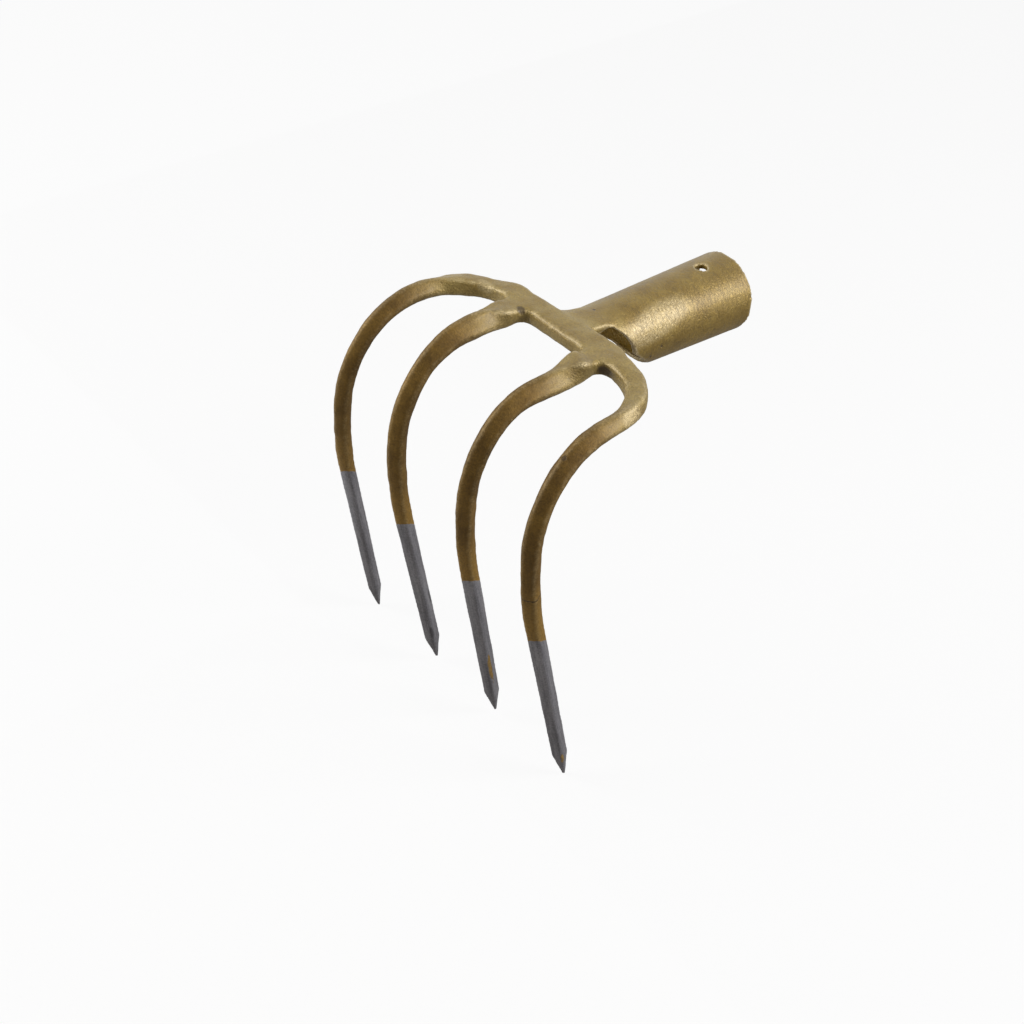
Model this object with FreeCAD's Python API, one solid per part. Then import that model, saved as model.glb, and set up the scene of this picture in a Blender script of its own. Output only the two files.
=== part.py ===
"""Potato fork head: four curved tines, a bridge and a rolled handle socket, forged in one piece.

Millimetres. The origin is the centre of the socket's mouth, +Y runs out of the mouth along
the handle, +X across the tines and +Z up, on the side that carries the nail hole.
"""
import FreeCAD, Part
import math
import os

V = FreeCAD.Vector

# Socket, rolled from sheet to a tube that narrows towards the bridge
mouth_radius = 21.0
throat_radius = 18.5
throat_y = -100.0
handle_radius = 17.5
seat_length = 30.0
sheet = 3.6
seam_width = 1.0
seam_depth = 1.2
nail_hole_radius = 3.2
nail_hole_setback = 19.7

# Front edges of the socket's wings, seen from the side
notch_front_height = 17.8
notch_height = 16.2
notch_y = -94.0
wing_height = 9.9
wing_y = -84.6
cheek_height = -1.0
cheek_y = -79.4
wing_foot_height = -13.2
wing_foot_y = -65.0
wing_heel_height = -16.0
wing_heel_y = -63.2

# Bridge, the bar that carries the tines
bridge_top = 19.5
bridge_thickness = 8.2
bridge_front = -118.8
bridge_right_width = 16.0
bridge_left_width = 12.8
plate_edge = 1.6
crotch_radius = 4.5
right_inner_crotch_radius = 2.6
left_inner_crotch_radius = 6.2
seat_depth = 0.2

# Neck, from the flat bridge to the round socket
neck_half_width = 10.0
neck_flare = 8.5
neck_end_y = -88.0
neck_floor = 11.5
neck_seat = 5.0
neck_crown_radius = 45.0

# Places of the tines' peaks and how far each pair spreads or closes by its tips
inner_right_peak_x = 27.9
inner_left_peak_x = -27.3
inner_tip_x = 25.2
outer_peak_x = 69.5
outer_tip_x = 79.5
peak_y = -146.0
peak_z = 15.3
outer_drop = 2.4
outer_setback = 0.9
arm_reach = 38.0
arm_depth = 29.0
left_arm_tuck = (0.0, 0.9, 1.5, 1.2)
right_arm_tuck = (0.0, 0.0, -0.4, 0.8)
arm_taper = 0.35

# Tine line from its peak down: bends of (radius, turn in degrees), then a straight run and the point
tine_bends = [(40.7, 56.4), (61.4, 33.6), (201.7, 13.5)]
straight_run = 94.5
point_length = 17.0
tip_width = 1.2

# Tine section, a square bar turned on edge at its root and a little further down its bends
root_width = 12.5
turning_width = 11.5
turning_depth = 10.3
peak_width = 9.2
bend_end_width = 7.15
shoulder_width = 6.5
left_girth = 0.92
bar_edge = 1.1
root_twist = 45.0
bend_twist = 20.0

# Over the first stretch from their peaks middle tines are stouter and hang lower, outer ones are slimmer
root_run = 34.0
right_root_swell = 1.2
left_root_swell = 1.9
right_root_sag = 3.3
left_root_sag = 0.4
right_slimness = 0.7
left_slimness = 0.0

# Spacing of the outlines that a bend runs through, and their places round an arm
ring_spacing = 13.0
arm_shares = (0.0, 0.25, 0.5, 0.75)

bridge_z = bridge_top - bridge_thickness / 2
bridge_back = bridge_front + (bridge_right_width + bridge_left_width) / 2
arm_start_x = outer_peak_x - arm_reach
socket_slope = (mouth_radius - throat_radius) / -throat_y


def socket_radius(y):
    """Outer radius of the socket at a place along its axis."""
    return mouth_radius + socket_slope * y


def mix(a, b, share):
    return a + (b - a) * share


def ring(centre, along, across, width, height, edge, twist=0.0):
    """Outline square to the bar: a rectangle with eased corners, turned about the bar's line."""
    along = V(along).normalize()
    across = (across - along * across.dot(along)).normalize()
    up = along.cross(across)
    angle = math.radians(twist)
    side = across * math.cos(angle) + up * math.sin(angle)
    rise = up * math.cos(angle) - across * math.sin(angle)
    half_w = width / 2
    half_h = height / 2
    inset = edge * (1 - math.sqrt(0.5))
    points = []
    for sx, sz in ((1, 1), (-1, 1), (-1, -1), (1, -1)):
        corner = [(half_w, half_h - edge), (half_w - inset, half_h - inset), (half_w - edge, half_h)]
        if sx != sz:
            corner.reverse()
        points += [centre + side * sx * x + rise * sz * z for x, z in corner]
    return Part.makePolygon(points + points[:1])


def tine_line(peak_x, tip_x, y, z):
    """The tine's line from its peak to its shoulder, as rows of centre, direction and distance run."""
    bends_run = sum(radius * math.radians(turn) for radius, turn in tine_bends)
    spread = (tip_x - peak_x) / (bends_run + straight_run + point_length)
    heading = 180.0
    run = 0.0
    rows = []

    def place():
        a = math.radians(heading)
        rows.append((V(peak_x + spread * run, y, z), V(spread, math.cos(a), math.sin(a)), run))

    place()
    for radius, turn in tine_bends:
        steps = round(radius * math.radians(turn) / ring_spacing)
        for _ in range(steps):
            a = math.radians(heading + turn / steps / 2)
            chord = 2 * radius * math.sin(math.radians(turn / steps / 2))
            y += chord * math.cos(a)
            z += chord * math.sin(a)
            heading += turn / steps
            run += radius * math.radians(turn / steps)
            place()
    a = math.radians(heading)
    y += straight_run * math.cos(a)
    z += straight_run * math.sin(a)
    run += straight_run
    place()
    return rows


def tine_from_peak(rows, root_rings, swell=0.0, sag=0.0, girth=1.0):
    """A tine from its root's rings through its bends, down its straight run to the point."""
    x_axis = V(1, 0, 0)
    bends_run = rows[-2][2]
    rings = []
    for centre, along, run in rows[:-1]:
        share = run / bends_run
        near_root = max(0.0, 1 - run / root_run)
        width = girth * mix(peak_width, bend_end_width, share) + swell * near_root
        rings.append(ring(centre - V(0, 0, sag * near_root), along, x_axis, width, width, bar_edge,
                          root_twist + bend_twist * share))
    twist = root_twist + bend_twist
    centre, along, _ = rows[-1]
    along = V(along).normalize()
    shoulder = ring(centre, along, x_axis, girth * shoulder_width, girth * shoulder_width, bar_edge, twist)
    tip = ring(centre + along * point_length, along, x_axis, tip_width, tip_width, tip_width / 3, twist)
    bends = Part.makeLoft(root_rings + rings, True, False)
    straight = Part.makeLoft([rings[-1], shoulder], True, True)
    point = Part.makeLoft([shoulder, tip], True, True)
    return bends.fuse([straight, point])


def inner_peak(side):
    return inner_right_peak_x if side > 0 else inner_left_peak_x


def inner_tine(side):
    """A middle tine, from a stub seated inside the bridge to its point."""
    x = inner_peak(side)
    forward = V(0, -1, 0)
    x_axis = V(1, 0, 0)
    height = bridge_thickness - seat_depth
    root_end = bridge_front - crotch_radius
    seated, root = [ring(V(x, y, bridge_z), forward, x_axis, root_width, height, plate_edge)
                    for y in (bridge_front + bridge_left_width / 2, root_end)]
    sag = right_root_sag if side > 0 else left_root_sag
    swell = right_root_swell if side > 0 else left_root_swell
    turning = ring(V(x, mix(root_end, peak_y, 0.5), mix(bridge_z, peak_z - sag, 0.5)), forward, x_axis,
                   turning_width, turning_depth, bar_edge, root_twist / 2)
    stub = Part.makeLoft([seated, root], True, True)
    rows = tine_line(x, side * inner_tip_x, peak_y, peak_z)
    return stub.fuse(tine_from_peak(rows, [root, turning], swell, sag))


def bridge_width(side):
    return bridge_right_width if side > 0 else bridge_left_width


def bridge():
    """The bar between the two arms, wider towards the right arm."""
    ends = [ring(V(side * arm_start_x, bridge_front + bridge_width(side) / 2, bridge_z), V(1, 0, 0),
                 V(0, 1, 0), bridge_width(side), bridge_thickness, plate_edge) for side in (-1, 1)]
    return Part.makeLoft(ends, True, True)


def outer_tine(side):
    """The arm that turns forward from the bridge's end, and an outer tine to its point."""
    rows = tine_line(side * outer_peak_x, side * outer_tip_x, peak_y + outer_setback, peak_z - outer_drop)
    peak = rows[0][0]
    width = bridge_width(side)
    start_y = bridge_front + width / 2
    slimness = right_slimness if side > 0 else left_slimness
    end_width = peak_width - slimness
    rings = []
    for share, tuck in zip(arm_shares, right_arm_tuck if side > 0 else left_arm_tuck):
        a = math.radians(90 * share)
        along = V(side * arm_reach * math.cos(a), -arm_depth * math.sin(a), 0)
        out = arm_start_x + arm_reach * math.sin(a) - tuck
        centre = V(side * out, start_y - arm_depth * (1 - math.cos(a)), mix(bridge_z, peak.z, share))
        rings.append(ring(centre, along, V(0, 0, 1).cross(along), mix(width, end_width, share ** arm_taper),
                          mix(bridge_thickness, end_width, share), mix(plate_edge, bar_edge, share),
                          root_twist * share ** 3))
    return tine_from_peak(rows, rings, -slimness, 0.0, 1.0 if side > 0 else left_girth)


def root_web(side):
    """Metal left in the two crotches beside a middle tine, with round inner corners."""
    x = inner_peak(side)
    half = root_width / 2 - seat_depth
    base_y = bridge_front + seat_depth
    back_y = base_y + bridge_left_width / 3
    inner_radius = right_inner_crotch_radius if side > 0 else left_inner_crotch_radius
    corners = []
    for way, radius in ((-side, inner_radius), (side, crotch_radius)):
        far = radius * (1 - math.sqrt(0.5))
        corners.append((V(x + way * (half + radius), base_y, 0),
                        V(x + way * (half + far), base_y - far, 0), V(x + way * half, base_y - radius, 0)))
    (inner_foot, inner_middle, inner_tip), (outer_foot, outer_middle, outer_tip) = corners
    inner_back = V(inner_foot.x, back_y, 0)
    outer_back = V(outer_foot.x, back_y, 0)
    edges = [Part.Arc(inner_foot, inner_middle, inner_tip).toShape(), Part.makeLine(inner_tip, outer_tip),
             Part.Arc(outer_tip, outer_middle, outer_foot).toShape(), Part.makeLine(outer_foot, outer_back),
             Part.makeLine(outer_back, inner_back), Part.makeLine(inner_back, inner_foot)]
    thickness = bridge_thickness - 2 * seat_depth
    web = Part.Face(Part.Wire(edges)).extrude(V(0, 0, thickness))
    web.translate(V(0, 0, bridge_z - thickness / 2))
    return web


def socket():
    """The rolled tube with its straight seat for the handle, narrowing bore and bottom seam."""
    back = V(0, -1, 0)
    seated_y = bridge_back - neck_seat
    length = -seated_y
    tube = Part.makeCone(mouth_radius, socket_radius(seated_y), length, V(0, 0, 0), back)
    seat = Part.makeCylinder(handle_radius, seat_length, V(0, 0, 0), back)
    bore = Part.makeCone(handle_radius, socket_radius(seated_y) - sheet, length - seat_length,
                         V(0, -seat_length, 0), back)
    uncut = Part.makeCone(mouth_radius - seam_depth, socket_radius(seated_y) - seam_depth, length,
                          V(0, 0, 0), back)
    slot = Part.makeBox(seam_width, length, 2 * mouth_radius, V(-seam_width / 2, -length, -2 * mouth_radius))
    seam = slot.cut(uncut)
    nail = Part.makeCylinder(nail_hole_radius, 2 * mouth_radius, V(0, -nail_hole_setback, 0), V(0, 0, 1))
    return tube.cut(seat.fuse(bore)).cut(seam).cut(nail).cut(wing_front())


def wing_front():
    """What is cut away in front of the wings, drawn from the side and run across the socket."""
    low = -2 * mouth_radius
    start = V(0, bridge_front, notch_front_height)
    notch = V(0, notch_y, notch_height)
    foot = V(0, wing_foot_y, wing_foot_height)
    heel = V(0, wing_heel_y, wing_heel_height)
    cheek = V(0, cheek_y, cheek_height)
    edge = Part.Arc(notch, V(0, wing_y, wing_height), cheek).toShape()
    edges = [Part.makeLine(start, notch), edge, Part.makeLine(cheek, foot), Part.makeLine(foot, heel),
             Part.makeLine(heel, V(0, wing_heel_y, low)),
             Part.makeLine(V(0, wing_heel_y, low), V(0, bridge_front, low)),
             Part.makeLine(V(0, bridge_front, low), start)]
    profile = Part.Face(Part.Wire(edges))
    profile.translate(V(-2 * mouth_radius, 0, 0))
    return profile.extrude(V(4 * mouth_radius, 0, 0))


def neck_outline():
    """The neck in plan: straight on the right, and flared with a round corner on the left."""
    start_y = bridge_back - neck_seat
    half = neck_half_width
    turn = neck_flare * (1 - math.sqrt(0.5))
    foot = V(-half - neck_flare, bridge_back, 0)
    head = V(-half, bridge_back + neck_flare, 0)
    corner = Part.Arc(head, V(-half - turn, bridge_back + turn, 0), foot).toShape()
    edges = [Part.makeLine(V(half, start_y, 0), V(half, neck_end_y, 0)),
             Part.makeLine(V(half, neck_end_y, 0), V(-half, neck_end_y, 0)),
             Part.makeLine(V(-half, neck_end_y, 0), head), corner,
             Part.makeLine(foot, V(foot.x, start_y, 0)),
             Part.makeLine(V(foot.x, start_y, 0), V(half, start_y, 0))]
    return Part.Face(Part.Wire(edges))


def neck():
    """The thick part between the bridge and the socket, rounding and thinning to the sheet."""
    start_y = bridge_back - neck_seat
    foot_x = neck_half_width + neck_flare
    block = neck_outline().extrude(V(0, 0, 2 * mouth_radius))

    thin_z = socket_radius(neck_end_y) - sheet - seat_depth
    hollow = Part.Face(Part.makePolygon([
        V(0, start_y, neck_floor), V(0, bridge_back, neck_floor), V(0, neck_end_y, thin_z),
        V(0, neck_end_y, 0), V(0, start_y, 0), V(0, start_y, neck_floor)]))
    hollow.translate(V(-foot_x, 0, 0))

    level = bridge_top - seat_depth - neck_crown_radius
    flat_end = Part.makeCircle(neck_crown_radius, V(0, start_y, level), V(0, 1, 0))
    round_end = Part.makeCircle(socket_radius(neck_end_y) - seat_depth, V(0, neck_end_y, 0), V(0, 1, 0))
    crown = Part.makeLoft([Part.Wire(flat_end), Part.Wire(round_end)], True, True)
    return block.cut(hollow.extrude(V(2 * foot_x, 0, 0))).common(crown)


def fork_head():
    pieces = [bridge(), outer_tine(1), outer_tine(-1), inner_tine(1), inner_tine(-1),
              root_web(1), root_web(-1), neck(), socket()]
    head = pieces[0].fuse(pieces[1:])
    return head.removeSplitter()


os.makedirs("parts", exist_ok=True)
shape = fork_head()
box = shape.BoundBox
print("fork_head", shape.isValid(), len(shape.Solids), round(shape.Volume), len(shape.Faces))
print("box", [round(v, 1) for v in (box.XMin, box.YMin, box.ZMin, box.XMax, box.YMax, box.ZMax)])
shape.exportStep("parts/fork_head.step")
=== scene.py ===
"""Potato fork head: one forged piece, painted gold-bronze, with its tine ends ground bare."""
from math import atan2, hypot

import bpy
from mathutils import Matrix, Vector


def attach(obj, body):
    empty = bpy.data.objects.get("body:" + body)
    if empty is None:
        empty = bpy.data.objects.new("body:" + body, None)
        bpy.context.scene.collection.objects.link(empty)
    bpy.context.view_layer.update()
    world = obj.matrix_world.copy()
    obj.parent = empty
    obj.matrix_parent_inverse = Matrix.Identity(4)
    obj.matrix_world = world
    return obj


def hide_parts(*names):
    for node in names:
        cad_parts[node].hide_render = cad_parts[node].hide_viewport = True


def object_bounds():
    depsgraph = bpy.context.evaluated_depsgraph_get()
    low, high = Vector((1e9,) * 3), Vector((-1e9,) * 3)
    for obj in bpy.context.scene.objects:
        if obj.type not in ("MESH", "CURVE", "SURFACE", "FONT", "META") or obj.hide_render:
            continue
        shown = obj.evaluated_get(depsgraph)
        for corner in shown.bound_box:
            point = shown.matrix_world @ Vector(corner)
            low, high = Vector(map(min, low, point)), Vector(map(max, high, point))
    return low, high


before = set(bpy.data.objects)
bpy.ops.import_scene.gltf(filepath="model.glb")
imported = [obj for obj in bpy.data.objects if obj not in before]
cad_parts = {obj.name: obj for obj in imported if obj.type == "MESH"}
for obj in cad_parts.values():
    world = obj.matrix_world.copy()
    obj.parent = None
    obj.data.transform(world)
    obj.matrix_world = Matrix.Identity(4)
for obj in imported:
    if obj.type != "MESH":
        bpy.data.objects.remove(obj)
cad_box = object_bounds()
bpy.context.scene.view_settings.view_transform = "Standard"

MM = 0.001
TINE_RUN = (0.2334, -0.9724)           # Y and Z of the direction of the tines' straight runs
TINE_LEAN = -atan2(*TINE_RUN)          # turn about X that lays the third axis along those runs
TINE_SPACING = 53
PAINT_END_SLOPE = (0.738, -0.515, -1.152)  # square to the paint's end, 1 long along a tine's straight run
PAINT_END = 216.2
NAIL_HOLE_BEHIND_MOUTH = 19.7
SKIN_VOXEL = 0.88
FAR_WING_REACH = 9                     # how much further forward the far wing's edge lies


def mm(x, y, z):
    return Vector((x * MM, y * MM, z * MM))


def srgb(code):
    """A hex colour as it looks on a screen, turned to the linear colour that the shaders take."""
    parts = [int(code[i:i + 2], 16) / 255 for i in (1, 3, 5)]
    return tuple(c / 12.92 if c <= 0.04045 else ((c + 0.055) / 1.055) ** 2.4 for c in parts) + (1,)


def rise(value, start, end):
    """0 up to start, 1 from end on, and straight between them."""
    return min(1, max(0, (value - start) / (end - start)))


# ------------------------------------------------------------------ camera

camera = bpy.data.objects.new("camera", bpy.data.cameras.new("camera"))
bpy.context.scene.collection.objects.link(camera)
bpy.context.scene.camera = camera
camera.data.sensor_width = 36
camera.data.lens = 60.2
camera.data.shift_x = -0.0073
camera.data.shift_y = -0.0211
camera_place = mm(498.2, -600.8, 455.0)
right = Vector((0.6428, 0.7627, 0.0713))
back = Vector((0.5762, -0.5426, 0.6112)).normalized()
right = (right - back * right.dot(back)).normalized()
up = back.cross(right)
turned = Matrix((right, up, back)).transposed().to_4x4()
camera.matrix_world = Matrix.Translation(camera_place) @ turned


# ------------------------------------------------------------------ the forged body

def smooth_where(body, name, group, rounds):
    """Rounds the body off where a vertex group says, the more the more rounds it gets."""
    smooth = body.modifiers.new(name, "SMOOTH")
    smooth.factor = 0.5
    smooth.iterations = rounds
    smooth.vertex_group = group
    bpy.ops.object.modifier_apply(modifier=smooth.name)


def push_where(body, name, group, height, level, pattern=None):
    """Moves the surface in and out where a vertex group says, by a height in mm. The part of the
    pattern that is above level goes out, and the rest in."""
    push = body.modifiers.new(name, "DISPLACE")
    if pattern:
        push.texture = pattern
        push.texture_coords = "LOCAL"
    push.strength = height * MM
    push.mid_level = level
    push.vertex_group = group
    bpy.ops.object.modifier_apply(modifier=push.name)


def forged_body():
    """The fork head's own skin: a copy of the CAD part with forged, softly worn corners."""
    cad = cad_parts["fork_head"]
    bpy.ops.object.select_all(action="DESELECT")
    body = cad.copy()
    body.data = cad.data.copy()
    body.name = "forged_fork_head"
    body.parent = None
    for key in list(body.keys()):
        del body[key]
    bpy.context.scene.collection.objects.link(body)
    body.select_set(True)
    bpy.context.view_layer.objects.active = body
    body.data.materials.clear()

    bpy.ops.object.mode_set(mode="EDIT")
    bpy.ops.mesh.select_all(action="SELECT")
    bpy.ops.mesh.remove_doubles(threshold=0.01 * MM)
    bpy.ops.object.mode_set(mode="OBJECT")

    skin = body.modifiers.new("skin", "REMESH")
    skin.mode = "VOXEL"
    skin.voxel_size = SKIN_VOXEL * MM
    bpy.ops.object.modifier_apply(modifier=skin.name)

    # the far wing reaches further forward than the near one, which the notch shows
    for vertex in body.data.vertices:
        x, y, z = vertex.co / MM
        if y > -97:
            share = rise(-x, 2, 10) * rise(-z, -15, -11) * rise(-y, 56, 78) ** 2
            vertex.co.y -= FAR_WING_REACH * MM * share

    # where the hammer, the roller and the grinder worked: each group is one part of the body
    junctions = body.vertex_groups.new(name="junctions")
    tines = body.vertex_groups.new(name="tines")
    hammered = body.vertex_groups.new(name="hammered")
    sheet = body.vertex_groups.new(name="rolled_sheet")
    bars = body.vertex_groups.new(name="painted_bars")
    for vertex in body.data.vertices:
        x, y, z = vertex.co / MM
        down_tine = TINE_RUN[0] * y + TINE_RUN[1] * z
        # the bridge, and the roots of the arms and tines
        near_bridge = rise(z, -2, 6) * rise(-y, 99, 105) * rise(y, -142, -132)
        if near_bridge > 0:
            junctions.add([vertex.index], near_bridge, "REPLACE")
        on_sheet = rise(y, -95, -91)
        tines.add([vertex.index], 1 - 0.8 * rise(down_tine, 120, 130) - 0.9 * on_sheet, "REPLACE")
        bare_steel = rise(down_tine, 36, 44)
        bars.add([vertex.index], rise(-y, 134, 144) * (1 - bare_steel), "REPLACE")
        hammered.add([vertex.index], 1 - 0.65 * on_sheet - 0.5 * bare_steel, "REPLACE")
        # the socket's round outside, away from the mouth's rim, the nail hole and the wings' edges
        inside_rim = rise(-y, 2, 5) * rise(y, -97, -91)
        off_hole = rise(hypot(x, y + NAIL_HOLE_BEHIND_MOUTH), 4.5, 7.5) if z > 0 else 1
        off_wings = 1 if z > 12 else rise(y, -70, -64)
        sheet.add([vertex.index], inside_rim * off_hole * off_wings, "REPLACE")

    smooth_where(body, "soften", "tines", 9)
    smooth_where(body, "blend", "junctions", 12)
    smooth_where(body, "round_off", "rolled_sheet", 16)
    # the painted tines have well rounded corners
    smooth_where(body, "rounded", "painted_bars", 18)

    # the smoothing took 0.2 mm off the body and more off the painted bars, which this gives back
    push_where(body, "full", "tines", 0.2, 0)
    push_where(body, "full", "painted_bars", 0.24, 0)

    # long shallow waves of hand forging, about 14 mm apart
    waves = bpy.data.textures.new("forging_waves", "CLOUDS")
    waves.noise_scale = 14 * MM
    waves.noise_depth = 1
    push_where(body, "worked", "hammered", 0.6, 0.5, waves)

    # hammer blows on the bridge and the arms' roots, about 6 mm across
    blows = bpy.data.textures.new("hammer_blows", "VORONOI")
    blows.noise_scale = 6 * MM
    push_where(body, "struck", "junctions", 0.35, 0.45, blows)

    # small dimples left by the scale that was hammered in, about 3.5 mm apart
    dimples = bpy.data.textures.new("scale_dimples", "CLOUDS")
    dimples.noise_scale = 3.5 * MM
    dimples.noise_depth = 1
    push_where(body, "dimpled", "hammered", 0.25, 0.45, dimples)

    bpy.ops.object.shade_smooth()
    body.vertex_groups.clear()
    return body


# ------------------------------------------------------------------ material

def put(tree, kind, settings, links={}):
    """Adds one node. Whole numbers and input names set or link inputs, other names set the node itself."""
    node = tree.nodes.new(kind)
    for key, value in settings.items():
        if isinstance(key, int) or key in node.inputs:
            node.inputs[key].default_value = value
        else:
            setattr(node, key, value)
    for key, socket in links.items():
        tree.links.new(socket, node.inputs[key])
    return node


def place_marks(tree, coords, marks):
    """1 at each place on the part that the marks name, falling to 0 at the edge of an ellipsoid.
    A mark is its centre and half size in mm. The third half size runs along the tines."""
    joined = None
    for centre, half_size in marks:
        moved = put(tree, "ShaderNodeMapping", {
            "vector_type": "TEXTURE", "Location": mm(*centre), "Rotation": (TINE_LEAN, 0, 0),
            "Scale": mm(*half_size)}, {"Vector": coords})
        reach = put(tree, "ShaderNodeVectorMath", {"operation": "LENGTH"}, {0: moved.outputs[0]})
        spot = put(tree, "ShaderNodeMapRange", {
            "interpolation_type": "SMOOTHSTEP", "From Min": 1.0, "From Max": 0.5},
            {"Value": reach.outputs["Value"]}).outputs[0]
        joined = spot if joined is None else put(
            tree, "ShaderNodeMath", {"operation": "MAXIMUM"}, {0: joined, 1: spot}).outputs[0]
    return joined


def painted_forged_steel():
    """Satin gold-bronze metallic paint on hand-forged carbon steel, ground bare over the last 11 cm
    of the tines. The paint shows as warm brown-gold with soft, nearly white highlights and fine grain,
    olive where it faces up, with painted shade in the hollows and at the middle tines' roots, rubbed
    lighter on the edges with a painted highlight along them, and painted highlights on a few spots.
    The ground steel is mid grey with long streaks along the tine and a few crumbs of paint left."""
    material = bpy.data.materials.new("gold_bronze_paint_on_forged_steel")
    material.use_nodes = True
    tree = material.node_tree
    tree.nodes.clear()
    out = put(tree, "ShaderNodeOutputMaterial", {})
    shader = put(tree, "ShaderNodeBsdfPrincipled", {
        "IOR": 1.5, "Specular IOR Level": 0.5, "Coat Roughness": 0.36})
    tree.links.new(shader.outputs[0], out.inputs["Surface"])
    coords = put(tree, "ShaderNodeTexCoord", {}).outputs["Object"]
    place = put(tree, "ShaderNodeSeparateXYZ", {}, {0: coords})
    surface = put(tree, "ShaderNodeNewGeometry", {})

    # the third axis of this runs along the tines, towards their tips
    along = put(tree, "ShaderNodeMapping", {"Rotation": (-TINE_LEAN, 0, 0)}, {"Vector": coords})
    run = put(tree, "ShaderNodeSeparateXYZ", {}, {0: along.outputs[0]})

    # tone of the paint in patches of about 11 mm
    clouds = put(tree, "ShaderNodeTexNoise", {"Scale": 1 / (11 * MM), "Detail": 3.0}, {"Vector": coords})
    tone = put(tree, "ShaderNodeMapRange", {"From Min": 0.35, "From Max": 0.68},
               {"Value": clouds.outputs[0]})
    paint = put(tree, "ShaderNodeMix", {"data_type": "RGBA", 6: srgb("#866F36"), 7: srgb("#99844C")},
                {0: tone.outputs[0]})
    # thinner and browner over the tines, from 128 to 164 mm in front of the mouth
    down_tines = put(tree, "ShaderNodeMapRange", {
        "interpolation_type": "SMOOTHSTEP", "From Min": -128 * MM, "From Max": -164 * MM},
        {"Value": place.outputs[1]})
    brown = put(tree, "ShaderNodeMix", {"data_type": "RGBA", 6: srgb("#5C4312"), 7: srgb("#745820")},
                {0: tone.outputs[0]})
    # more golden again over the last stretch above the ground steel
    near_end = put(tree, "ShaderNodeMapRange", {
        "interpolation_type": "SMOOTHSTEP", "From Min": 0, "From Max": 36 * MM},
        {"Value": run.outputs[2]})
    golden = put(tree, "ShaderNodeMix", {"data_type": "RGBA", 7: srgb("#83652A")},
                 {0: near_end.outputs[0], 6: brown.outputs[2]})
    on_socket = put(tree, "ShaderNodeMapRange", {"From Min": -98 * MM, "From Max": -76 * MM},
                    {"Value": place.outputs[1]})
    rolled_paint = put(tree, "ShaderNodeMix", {
        "data_type": "RGBA", 6: srgb("#786022"), 7: srgb("#8A7232")}, {0: tone.outputs[0]})
    head = put(tree, "ShaderNodeMix", {"data_type": "RGBA"},
               {0: on_socket.outputs[0], 6: paint.outputs[2], 7: rolled_paint.outputs[2]})
    base = put(tree, "ShaderNodeMix", {"data_type": "RGBA"},
               {0: down_tines.outputs[0], 6: head.outputs[2], 7: golden.outputs[2]})

    # grain of the brushed-on paint: 1 mm specks, and wrinkles of 2.6 by 1.5 mm round the rolled
    # socket, drawn coarser than the real ones so that they show
    grain = put(tree, "ShaderNodeTexNoise", {"Scale": 1 / (1.0 * MM), "Detail": 4.0, "Roughness": 0.6},
                {"Vector": coords})
    rolled_coords = put(tree, "ShaderNodeMapping", {"Scale": (1 / 2.6, 1 / 1.5, 1 / 2.6)},
                        {"Vector": coords})
    rolled = put(tree, "ShaderNodeTexNoise", {
        "Scale": 1 / MM, "Detail": 3.0, "Roughness": 0.65, "Distortion": 1.2},
        {"Vector": rolled_coords.outputs[0]})
    relief_paint = put(tree, "ShaderNodeMix", {"data_type": "FLOAT"},
                       {0: on_socket.outputs[0], 2: grain.outputs[0], 3: rolled.outputs[0]})
    grain_tone = put(tree, "ShaderNodeMapRange", {
        "From Min": 0.3, "From Max": 0.7, "To Min": 0.74, "To Max": 1.22},
        {"Value": relief_paint.outputs[0]})
    grained = put(tree, "ShaderNodeVectorMath", {"operation": "SCALE"},
                  {0: base.outputs[2], "Scale": grain_tone.outputs[0]})

    # painted shade in the hollows, and on the inner faces of the two middle tines' roots
    hollow_shade = put(tree, "ShaderNodeMapRange", {"From Min": 0.485, "From Max": 0.40, "To Max": 0.75},
                 {"Value": surface.outputs["Pointiness"]})
    painted_shade = place_marks(tree, coords, (
        ((-21.6, -136.0, 17.0), (7.0, 9.0, 9.0)),
        ((34.2, -130.9, 18.1), (7.0, 9.0, 9.0))))
    painted_shade = put(tree, "ShaderNodeMath", {"operation": "MULTIPLY", 1: 0.3}, {0: painted_shade})
    painted_shade = put(tree, "ShaderNodeMath", {"operation": "MAXIMUM"},
                 {0: hollow_shade.outputs[0], 1: painted_shade.outputs[0]})
    shaded = put(tree, "ShaderNodeMix", {"data_type": "RGBA", 7: srgb("#4B3714")},
                {0: painted_shade.outputs[0], 6: grained.outputs[0]})

    # paint rubbed thin on the edges, with a painted highlight along them, less so on the tines
    edge_wear_and_highlight = put(tree, "ShaderNodeMapRange", {"From Min": 0.512, "From Max": 0.55},
               {"Value": surface.outputs["Pointiness"]})
    patchy = put(tree, "ShaderNodeMapRange", {
        "From Min": 0.35, "From Max": 0.6, "To Min": 0.3, "To Max": 0.95}, {"Value": grain.outputs[0]})
    edge_mark_fade = put(tree, "ShaderNodeMapRange", {"To Min": 1.0, "To Max": 0.45},
                    {"Value": down_tines.outputs[0]})
    edge_wear_and_highlight = put(tree, "ShaderNodeMath", {"operation": "MULTIPLY"},
               {0: edge_wear_and_highlight.outputs[0], 1: edge_mark_fade.outputs[0]})
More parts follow.
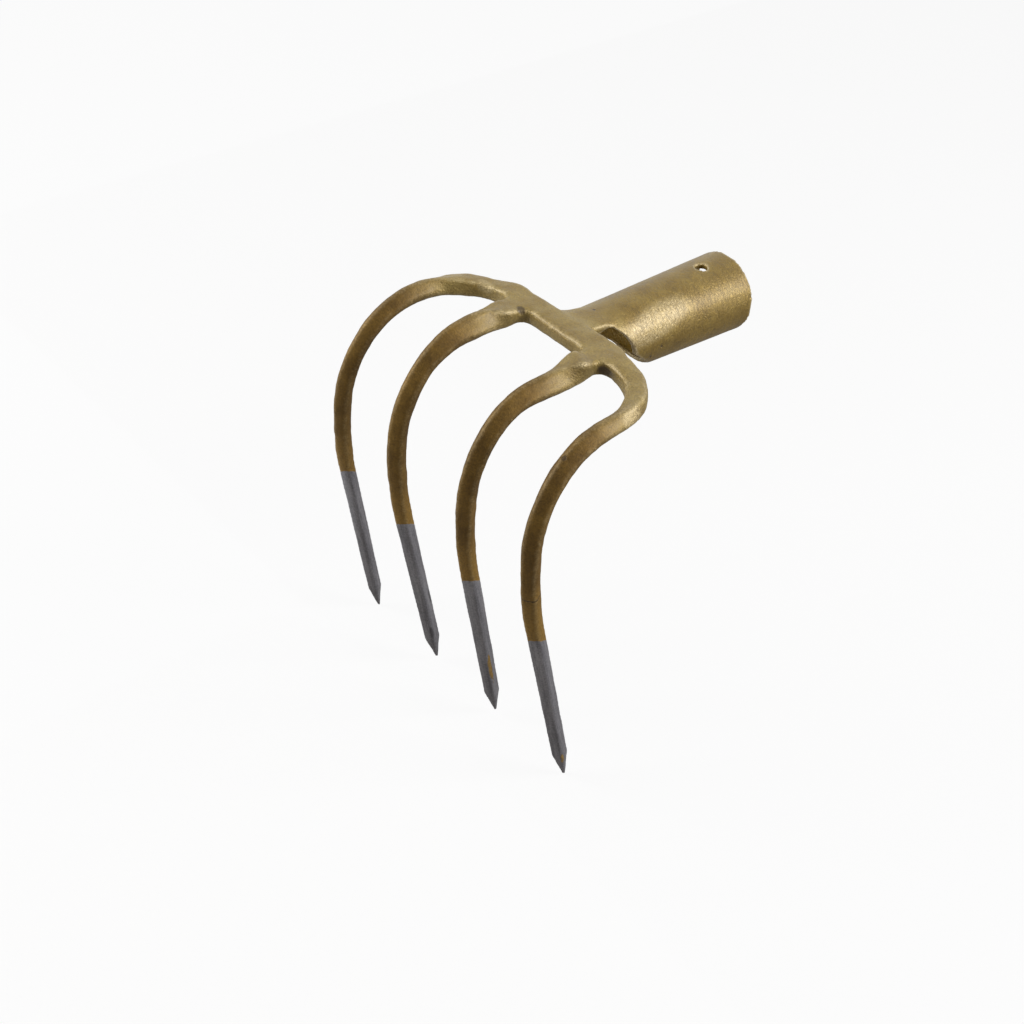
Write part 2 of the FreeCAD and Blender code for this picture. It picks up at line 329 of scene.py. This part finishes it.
    # painted highlights at the near wing's corner and on the outer arms
    painted_highlight = place_marks(tree, coords, (
        ((15.0, -64.0, 11.0), (11.0, 30.0, 10.0)),
        ((72.0, -134.0, 15.0), (9.0, 9.0, 7.0)),
        ((-49.0, -121.0, 18.0), (7.0, 4.0, 4.0))))
    painted_highlight = put(tree, "ShaderNodeMath", {"operation": "MULTIPLY", 1: 0.48}, {0: painted_highlight})
    rubbing_and_highlight = put(tree, "ShaderNodeMath", {"operation": "MAXIMUM"},
                  {0: edge_wear_and_highlight.outputs[0], 1: painted_highlight.outputs[0]})
    wear_and_highlight = put(tree, "ShaderNodeMath", {"operation": "MULTIPLY"},
               {0: rubbing_and_highlight.outputs[0], 1: patchy.outputs[0]})
    rubbed_and_highlit = put(tree, "ShaderNodeMix", {"data_type": "RGBA", 7: srgb("#CDBB92")},
                 {0: wear_and_highlight.outputs[0], 6: shaded.outputs[2]})

    # small pits, and last painted shade in the dark crotches beside the neck
    pits_and_crotch_shade = place_marks(tree, coords, (
        ((-1.9, -91.2, 18.4), (1.2, 1.2, 1.2)),
        ((18.9, -62.6, -1.4), (1.1, 1.1, 1.1)),
        ((17.9, -68.5, -5.7), (0.9, 0.9, 1.6)),
        ((70.8, -173.5, 8.7), (1.6, 1.6, 2.4)),
        ((-28.0, -132.0, 14.0), (1.5, 1.5, 1.5)),
        ((-21.2, -121.5, 19.0), (3.2, 2.6, 3.6)),
        ((37.5, -119.5, 15.0), (6.0, 3.0, 3.6))))
    # a ragged hairline crack across the right tine's paint, 0.4 mm wide
    ragged = put(tree, "ShaderNodeMath", {"operation": "MULTIPLY_ADD", 1: 1.2 * MM, 2: -16.7 * MM},
                 {0: grain.outputs[0]})
    off_crack = put(tree, "ShaderNodeMath", {"operation": "ADD"},
                    {0: run.outputs[2], 1: ragged.outputs[0]})
    off_crack = put(tree, "ShaderNodeMath", {"operation": "ABSOLUTE"}, {0: off_crack.outputs[0]})
    crack = put(tree, "ShaderNodeMapRange", {"From Min": 0.5 * MM, "From Max": 0.2 * MM},
                {"Value": off_crack.outputs[0]})
    right_tine = put(tree, "ShaderNodeMath", {"operation": "GREATER_THAN", 1: 55 * MM},
                     {0: place.outputs[0]})
    crack = put(tree, "ShaderNodeMath", {"operation": "MULTIPLY"},
                {0: crack.outputs[0], 1: right_tine.outputs[0]})
    flaws_and_crotch_shade = put(tree, "ShaderNodeMath", {"operation": "MAXIMUM"}, {0: pits_and_crotch_shade, 1: crack.outputs[0]})
    flaws_and_crotch_shade = put(tree, "ShaderNodeMath", {"operation": "MULTIPLY", 1: 0.8}, {0: flaws_and_crotch_shade.outputs[0]})
    marked = put(tree, "ShaderNodeMix", {"data_type": "RGBA", 7: srgb("#3A2A12")},
                 {0: flaws_and_crotch_shade.outputs[0], 6: rubbed_and_highlit.outputs[2]})

    # ground steel: streaks of about 0.8 mm across and 20 mm along the tine, over broader bands
    stretched = put(tree, "ShaderNodeMapping", {"Scale": (1 / 0.8, 1 / 0.8, 1 / 20)},
                    {"Vector": along.outputs[0]})
    streaks = put(tree, "ShaderNodeTexNoise", {"Scale": 1 / MM, "Detail": 4.0, "Roughness": 0.6},
                  {"Vector": stretched.outputs[0]})
    banded = put(tree, "ShaderNodeMapping", {"Scale": (1 / 3, 1 / 3, 1 / 26)},
                 {"Vector": along.outputs[0]})
    bands = put(tree, "ShaderNodeTexNoise", {"Scale": 1 / MM, "Detail": 1.0},
                {"Vector": banded.outputs[0]})
    steel_mix = put(tree, "ShaderNodeMix", {"data_type": "FLOAT", 0: 0.45},
                    {2: streaks.outputs[0], 3: bands.outputs[0]})
    gritty = put(tree, "ShaderNodeMix", {"data_type": "FLOAT", 0: 0.4},
                 {2: steel_mix.outputs[0], 3: grain.outputs[0]})
    steel_tone = put(tree, "ShaderNodeMapRange", {"From Min": 0.4, "From Max": 0.6},
                     {"Value": gritty.outputs[0]})
    steel = put(tree, "ShaderNodeMix", {"data_type": "RGBA", 6: srgb("#6A696E"), 7: srgb("#929196")},
                {0: steel_tone.outputs[0]})
    # scars in the steel of the two middle tines
    scars = place_marks(tree, coords, (
        ((-21.8, -166.0, -168.7), (1.2, 1.4, 6.0)),
        ((-23.2, -168.0, -142.5), (0.9, 2.0, 7.0)),
        ((25.5, -166.5, -160.0), (0.7, 1.5, 12.0))))
    scars = put(tree, "ShaderNodeMath", {"operation": "MULTIPLY", 1: 0.6}, {0: scars})
    scarred = put(tree, "ShaderNodeMix", {"data_type": "RGBA", 7: srgb("#3A393C")},
                  {0: scars.outputs[0], 6: steel.outputs[2]})

    # the paint's crisp, slightly uneven end: it runs aslant round each tine, at the same height on
    # all four
    tine_middle = put(tree, "ShaderNodeMath", {"operation": "SNAP", 1: TINE_SPACING * MM},
                      {0: place.outputs[0]})
    tine_place = put(tree, "ShaderNodeCombineXYZ", {}, {0: tine_middle.outputs[0]})
    from_tine = put(tree, "ShaderNodeVectorMath", {"operation": "SUBTRACT"},
                    {0: coords, 1: tine_place.outputs[0]})
    past_line = put(tree, "ShaderNodeVectorMath", {"operation": "DOT_PRODUCT", 1: PAINT_END_SLOPE},
                    {0: from_tine.outputs[0]})
    uneven = put(tree, "ShaderNodeTexNoise", {"Scale": 1 / (3 * MM), "Detail": 2.0}, {"Vector": coords})
    wander = put(tree, "ShaderNodeMath", {
        "operation": "MULTIPLY_ADD", 1: 1.4 * MM, 2: -(PAINT_END + 0.7) * MM}, {0: uneven.outputs[0]})
    past = put(tree, "ShaderNodeMath", {"operation": "ADD"},
               {0: past_line.outputs["Value"], 1: wander.outputs[0]})
    bare = put(tree, "ShaderNodeMapRange", {"From Min": 0, "From Max": 0.3 * MM},
               {"Value": past.outputs[0]})
    # crumbs of paint left on the steel near two tips
    crumbs = place_marks(tree, coords, (
        ((30.5, -167.5, -157.0), (2.2, 3.4, 26.0)),
        ((83.6, -163.0, -180.0), (3.4, 4.0, 9.0))))
    flaked = put(tree, "ShaderNodeMapping", {"Scale": (1 / 1.6, 1 / 1.6, 1 / 5)},
                 {"Vector": along.outputs[0]})
    flakes = put(tree, "ShaderNodeTexNoise", {"Scale": 1 / MM, "Detail": 3.0},
                 {"Vector": flaked.outputs[0]})
    left_on = put(tree, "ShaderNodeMath", {"operation": "ADD"}, {0: crumbs, 1: flakes.outputs[0]})
    left_on = put(tree, "ShaderNodeMapRange", {"From Min": 1.3, "From Max": 1.38},
                  {"Value": left_on.outputs[0]})
    bare = put(tree, "ShaderNodeMath", {"operation": "SUBTRACT", "use_clamp": True},
               {0: bare.outputs[0], 1: left_on.outputs[0]})

    colour = put(tree, "ShaderNodeMix", {"data_type": "RGBA"},
                 {0: bare.outputs[0], 6: marked.outputs[2], 7: scarred.outputs[2]})
    tree.links.new(colour.outputs[2], shader.inputs["Base Color"])
    metal = put(tree, "ShaderNodeMapRange", {"To Min": 0.46, "To Max": 0.6}, {"Value": bare.outputs[0]})
    tree.links.new(metal.outputs[0], shader.inputs["Metallic"])
    rough_paint = put(tree, "ShaderNodeMapRange", {
        "From Min": 0.3, "From Max": 0.7, "To Min": 0.36, "To Max": 0.52},
        {"Value": relief_paint.outputs[0]})
    duller = put(tree, "ShaderNodeMix", {"data_type": "FLOAT", 3: 0.62},
                 {0: down_tines.outputs[0], 2: rough_paint.outputs[0]})
    rough = put(tree, "ShaderNodeMix", {"data_type": "FLOAT", 3: 0.48},
                {0: bare.outputs[0], 2: duller.outputs[0]})
    tree.links.new(rough.outputs[0], shader.inputs["Roughness"])

    # a thin clear coat on the socket and the bridge, none on the tines and the ground steel
    varnish = put(tree, "ShaderNodeMapRange", {"To Min": 0.35, "To Max": 0.0},
                  {"Value": down_tines.outputs[0]})
    varnish = put(tree, "ShaderNodeMix", {"data_type": "FLOAT", 3: 0.0},
                  {0: bare.outputs[0], 2: varnish.outputs[0]})
    tree.links.new(varnish.outputs[0], shader.inputs["Coat Weight"])

    # relief of the grain and the streaks, with the pits, the crack and the painted crotch shade sunk in
    calmer = put(tree, "ShaderNodeMapRange", {"To Min": 1.0, "To Max": 0.3},
                 {"Value": down_tines.outputs[0]})
    relief_calmed = put(tree, "ShaderNodeMath", {"operation": "MULTIPLY"},
                        {0: relief_paint.outputs[0], 1: calmer.outputs[0]})
    steel_relief = put(tree, "ShaderNodeMath", {"operation": "MULTIPLY", 1: 0.5},
                       {0: streaks.outputs[0]})
    relief = put(tree, "ShaderNodeMix", {"data_type": "FLOAT"},
                 {0: bare.outputs[0], 2: relief_calmed.outputs[0], 3: steel_relief.outputs[0]})
    sunk = put(tree, "ShaderNodeMath", {"operation": "SUBTRACT"},
               {0: relief.outputs[0], 1: flaws_and_crotch_shade.outputs[0]})
    bump = put(tree, "ShaderNodeBump", {"Strength": 1.0, "Distance": 0.5 * MM},
               {"Height": sunk.outputs[0]})
    tree.links.new(bump.outputs[0], shader.inputs["Normal"])
    return material


fork_head = forged_body()
fork_head.data.materials.append(painted_forged_steel())
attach(fork_head, "root")
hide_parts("fork_head")


# ------------------------------------------------------------------ floor, backdrop and light

def flat_card(name, size, place, facing):
    """A flat square card of the studio, seen from its front."""
    bpy.ops.object.select_all(action="DESELECT")
    bpy.ops.mesh.primitive_plane_add(size=size, location=place)
    card = bpy.context.object
    card.name = name
    card.rotation_euler = Vector(facing).to_track_quat("Z", "Y").to_euler()
    return card


def looked_at(tree):
    """1 where the camera, a reflection or a look through glass sees the surface, and 0 for its light."""
    path = put(tree, "ShaderNodeLightPath", {})
    seen = put(tree, "ShaderNodeMath", {"operation": "MAXIMUM"},
               {0: path.outputs["Is Camera Ray"], 1: path.outputs["Is Glossy Ray"]})
    return put(tree, "ShaderNodeMath", {"operation": "MAXIMUM"},
               {0: seen.outputs[0], 1: path.outputs["Is Transmission Ray"]}).outputs[0]


def pale_floor():
    """Matt white floor. What the camera and reflections see is nearly white, with a faint shadow left."""
    material = bpy.data.materials.new("matt_white_floor")
    material.use_nodes = True
    tree = material.node_tree
    tree.nodes.clear()
    out = put(tree, "ShaderNodeOutputMaterial", {})
    lit = put(tree, "ShaderNodeBsdfDiffuse", {"Color": srgb("#D0D0D0")})
    white = put(tree, "ShaderNodeEmission", {"Color": (1, 1, 1, 1), "Strength": 1.0})
    share = put(tree, "ShaderNodeMath", {"operation": "MULTIPLY", 1: 0.92}, {0: looked_at(tree)})
    both = put(tree, "ShaderNodeMixShader", {},
               {0: share.outputs[0], 1: lit.outputs[0], 2: white.outputs[0]})
    tree.links.new(both.outputs[0], out.inputs["Surface"])
    return material


def studio_cloth(name, colour):
    """Matt felt over a card, which gives the steel a plain tone to mirror."""
    material = bpy.data.materials.new(name)
    material.use_nodes = True
    shader = material.node_tree.nodes["Principled BSDF"]
    shader.inputs["Base Color"].default_value = srgb(colour)
    shader.inputs["Roughness"].default_value = 0.9
    return material


under_tips = cad_box[0].z
floor = flat_card("floor", 12.0, (0, 0, under_tips - 0.5 * MM), (0, 0, 1))
floor.data.materials.append(pale_floor())

# the dark side of the room behind the camera, which the faces turned to the camera mirror
flag = flat_card("dark_side", 5.0, (0.6, -1.7, 1.6), (0, 1, -0.3))
flag.data.materials.append(studio_cloth("dark_studio_cloth", "#2A2826"))

# grey cards on the table: one in front, which the tines' front faces mirror, and a slightly darker
# one behind the fork
front_card = flat_card("grey_table_card", 1.0, (0.39, -0.69, under_tips + 1 * MM), (0, 0, 1))
front_card.data.materials.append(studio_cloth("grey_studio_cloth", "#A09C96"))
rear_card = flat_card("dark_table_card", 1.4, (0.1, 0.51, under_tips + 1 * MM), (0, 0, 1))
rear_card.data.materials.append(studio_cloth("dark_grey_studio_cloth", "#8A8682"))
for card in (flag, front_card, rear_card):
    card.visible_camera = False
    card.visible_shadow = False

# a pale room: soft light on the fork, and white where it is looked at
world = bpy.data.worlds.new("studio")
bpy.context.scene.world = world
world.use_nodes = True
room = world.node_tree
room.nodes.clear()
room_out = put(room, "ShaderNodeOutputWorld", {})
level = put(room, "ShaderNodeMapRange", {"To Min": 0.4, "To Max": 1.0}, {"Value": looked_at(room)})
sky = put(room, "ShaderNodeBackground", {"Color": (1, 1, 1, 1)}, {"Strength": level.outputs[0]})
room.links.new(sky.outputs[0], room_out.inputs["Surface"])


def soft_lamp(name, towards, distance, size, watts):
    """A square soft box that shines at the middle of the fork head."""
    lamp = bpy.data.objects.new(name, bpy.data.lights.new(name, "AREA"))
    bpy.context.scene.collection.objects.link(lamp)
    lamp.data.shape = "SQUARE"
    lamp.data.size = size
    lamp.data.energy = watts
    middle = mm(0, -110, -60)
    lamp.location = middle + Vector(towards).normalized() * distance
    lamp.rotation_euler = Vector(towards).to_track_quat("Z", "Y").to_euler()


soft_lamp("key_right_behind", (0.69, 0.49, 0.52), 1.3, 0.55, 14)
soft_lamp("key_left_front", (-0.55, -0.7, 0.5), 1.4, 0.7, 17)

# a small lamp in the socket's mouth, for the inside that shows through the notch
inside = bpy.data.objects.new("socket_inside", bpy.data.lights.new("socket_inside", "AREA"))
bpy.context.scene.collection.objects.link(inside)
inside.data.size = 16 * MM
inside.data.energy = 0.012
inside.location = mm(2, -30, 0)
inside.rotation_euler = Vector((0, 1, 0)).to_track_quat("Z", "Y").to_euler()
inside.visible_camera = False
inside.visible_glossy = False
